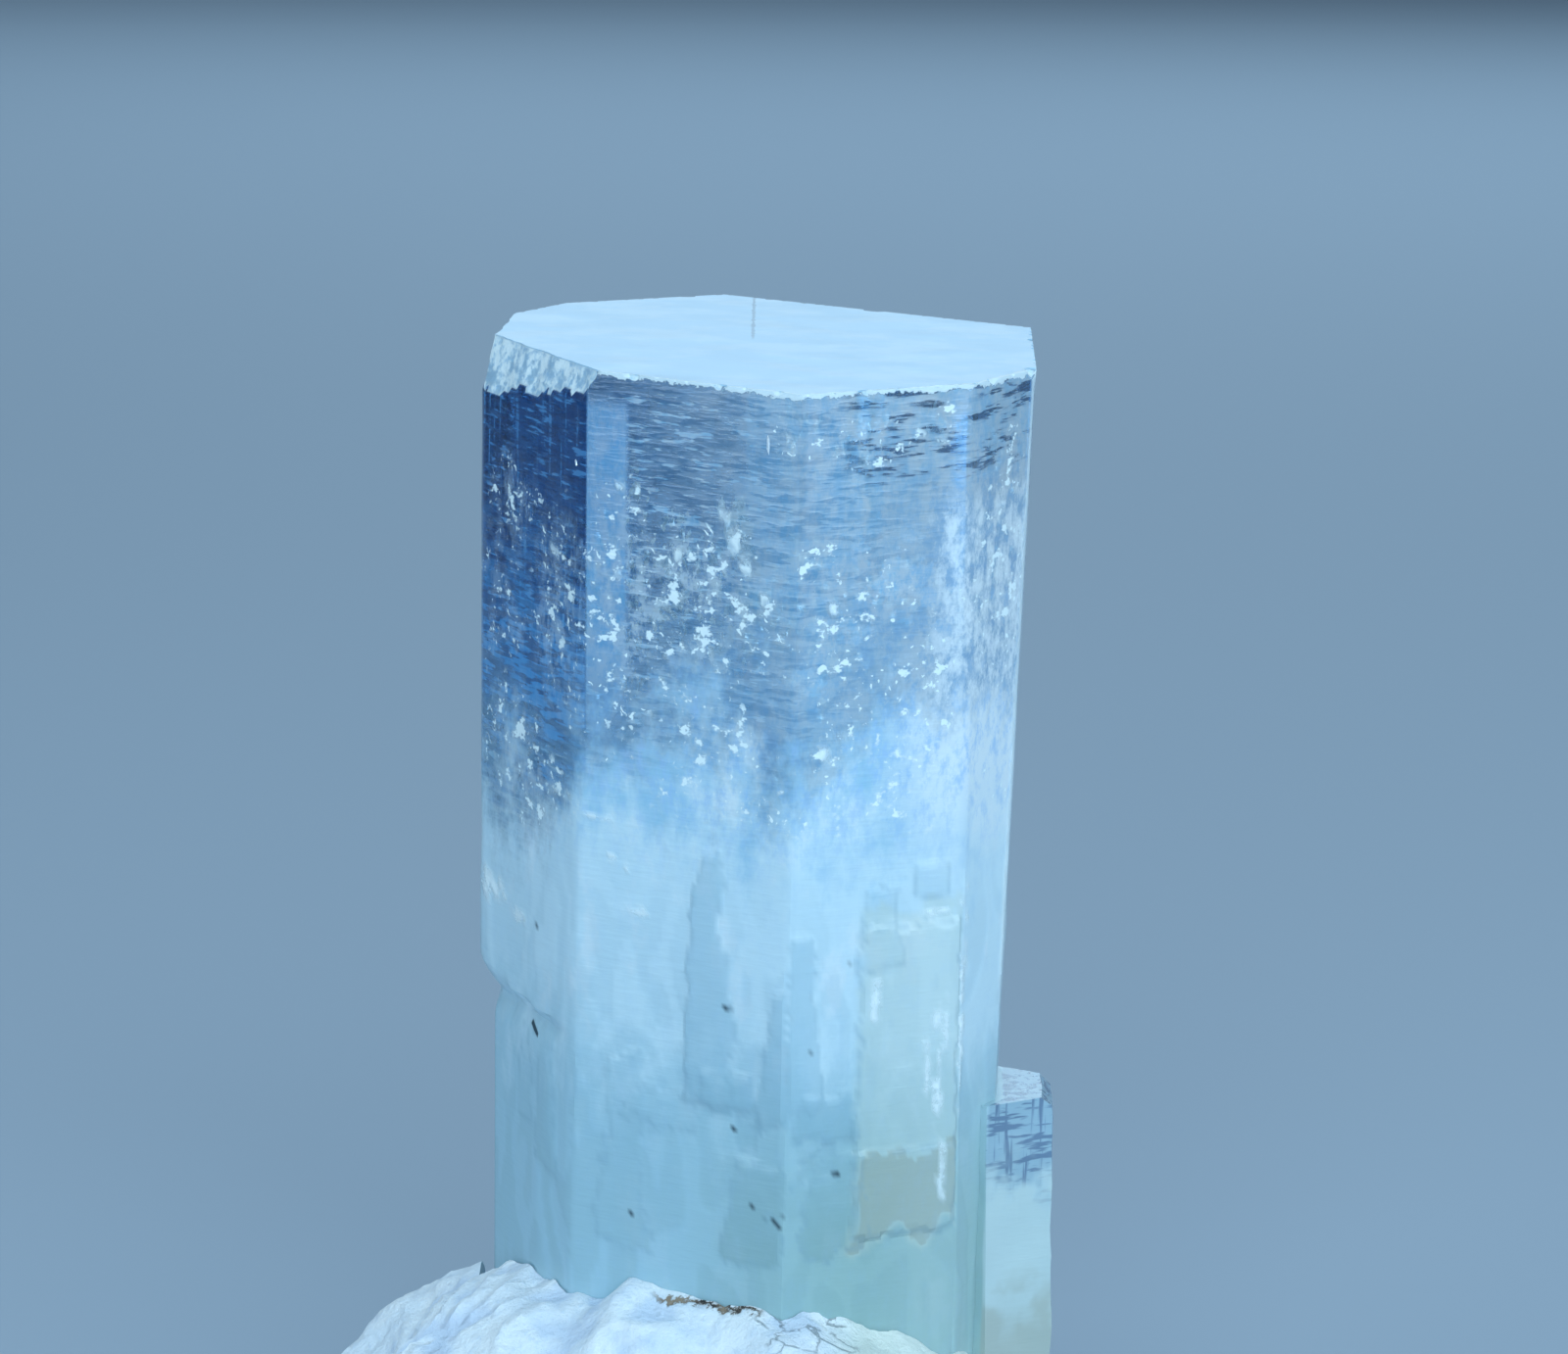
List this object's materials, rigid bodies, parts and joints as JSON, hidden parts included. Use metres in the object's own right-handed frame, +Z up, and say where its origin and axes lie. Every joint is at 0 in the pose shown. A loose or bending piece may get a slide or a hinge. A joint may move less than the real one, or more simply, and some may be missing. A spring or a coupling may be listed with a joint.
{
  "type": "aquamarine crystal",
  "caption": "Natural aquamarine crystal, a flat-topped six-sided prism with a smaller prism beside it, standing in a lump of white albite that rests on its flat base.",
  "frame": {"origin": "centre of the bounding box on the flat underside of the albite", "axes": "+Z up along the crystal; the pictured front faces -Y and the smaller prism stands on the +X side"},
  "size_m": [0.019, 0.0188, 0.0276],
  "materials": {
    "aquamarine": "clear pale blue at the top, clouding to milky blue at the foot, glossy faces with fine growth lines",
    "albite": "white, sugary and matt with curved blades, small pits and brown stains at the crystal's foot"
  },
  "bodies": {
    "root": {"aquamarine_crystal": "aquamarine", "albite_matrix": "albite"}
  },
  "joints": []
}
